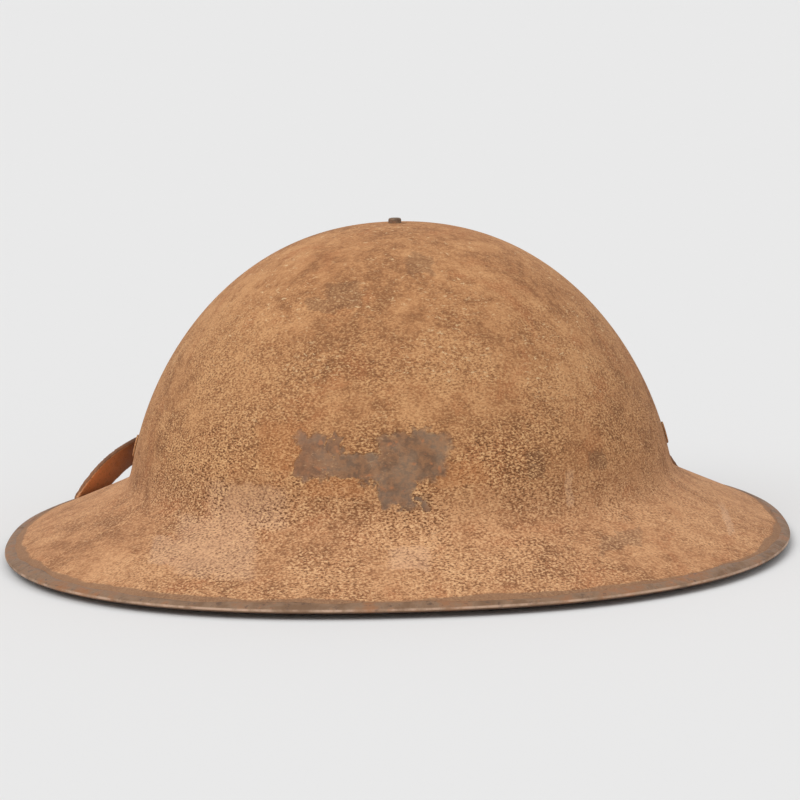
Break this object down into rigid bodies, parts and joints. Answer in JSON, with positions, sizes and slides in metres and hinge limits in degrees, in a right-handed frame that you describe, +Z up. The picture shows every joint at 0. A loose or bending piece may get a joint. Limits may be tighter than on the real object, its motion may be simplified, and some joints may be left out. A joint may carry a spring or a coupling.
{
  "type": "steel helmet",
  "caption": "Wide-brimmed pressed steel helmet with a domed bowl, bound rim, padded and netted liner, rubber spacers, and a buckled leather chin strap swung over the back.",
  "frame": {"origin": "under the middle of the rim, on the surface that the helmet rests on: z = 0 is the underside of the two strap folds at the rear, and the rim itself lies 2.4 mm above it", "axes": "+Z up through the crown, -Y to the front of the helmet, +Y to its back, +X to the viewer's right when looking at its front"},
  "size_m": [0.292, 0.311, 0.1208],
  "materials": {
    "shell_paint": "sand-textured paint, rusted",
    "rim_metal": "worn paint over rusted strip",
    "dark_rivets": "dulled paint",
    "liner_webbing": "aged cotton webbing",
    "felt_pad": "pressed wool felt",
    "oilcloth": "coated cloth, worn",
    "net_twine": "knotted twine",
    "lace_cord": "twisted cord",
    "bumper_rubber": "aged rubber",
    "plain_rivets": "tarnished",
    "lug_steel": "oxidised",
    "strap_leather": "brown, worn edges",
    "buckle_steel": "oxidised"
  },
  "bodies": {
    "helmet": {"shell": "shell_paint", "rim_binding": "rim_metal", "crown_rivet": "dark_rivets", "crown_washer": "lug_steel", "liner_strap_lengthwise": "liner_webbing", "liner_strap_crosswise": "liner_webbing", "crown_pad": "felt_pad", "headband": "oilcloth", "headband_felt": "felt_pad", "crown_net": "net_twine", "net_lace": "lace_cord", "bumper_rivets": "plain_rivets", "strap_left": "strap_leather", "strap_right": "strap_leather", "strap_buckle": "buckle_steel", "rubber_bumper_01": "bumper_rubber", "rubber_bumper_02": "bumper_rubber", "rubber_bumper_03": "bumper_rubber", "rubber_bumper_04": "bumper_rubber", "rubber_bumper_05": "bumper_rubber", "rubber_bumper_06": "bumper_rubber", "rubber_bumper_07": "bumper_rubber", "rubber_bumper_08": "bumper_rubber", "rubber_bumper_09": "bumper_rubber", "rubber_bumper_10": "bumper_rubber", "rubber_bumper_11": "bumper_rubber", "rubber_bumper_12": "bumper_rubber", "left_lug": "lug_steel", "left_lug_rivet": "dark_rivets", "right_lug": "lug_steel", "right_lug_rivet": "dark_rivets"},
    "left_bail": {"left_bail": "lug_steel", "left_strap_end": "strap_leather", "left_strap_rivet": "plain_rivets"},
    "right_bail": {"right_bail": "lug_steel", "right_strap_end": "strap_leather", "right_strap_rivet": "plain_rivets"},
    "keeper": {"strap_keeper": "strap_leather"}
  },
  "joints": [
    {"name": "left_bail_hinge", "type": "hinge", "parent": "helmet", "child": "left_bail", "pos_m": [-0.09448, 0.01018, 0.03039], "axis": [-0.2108, -0.5299, -0.8214], "range_deg": [0, 60]},
    {"name": "right_bail_hinge", "type": "hinge", "parent": "helmet", "child": "right_bail", "pos_m": [0.09848, 0.01018, 0.03039], "axis": [-0.2108, 0.5299, 0.8214], "range_deg": [0, 60]},
    {"name": "keeper_slide", "type": "slide", "parent": "helmet", "child": "keeper", "axis": [1, 0, 0], "range_m": [-0.004, 0.004]}
  ]
}
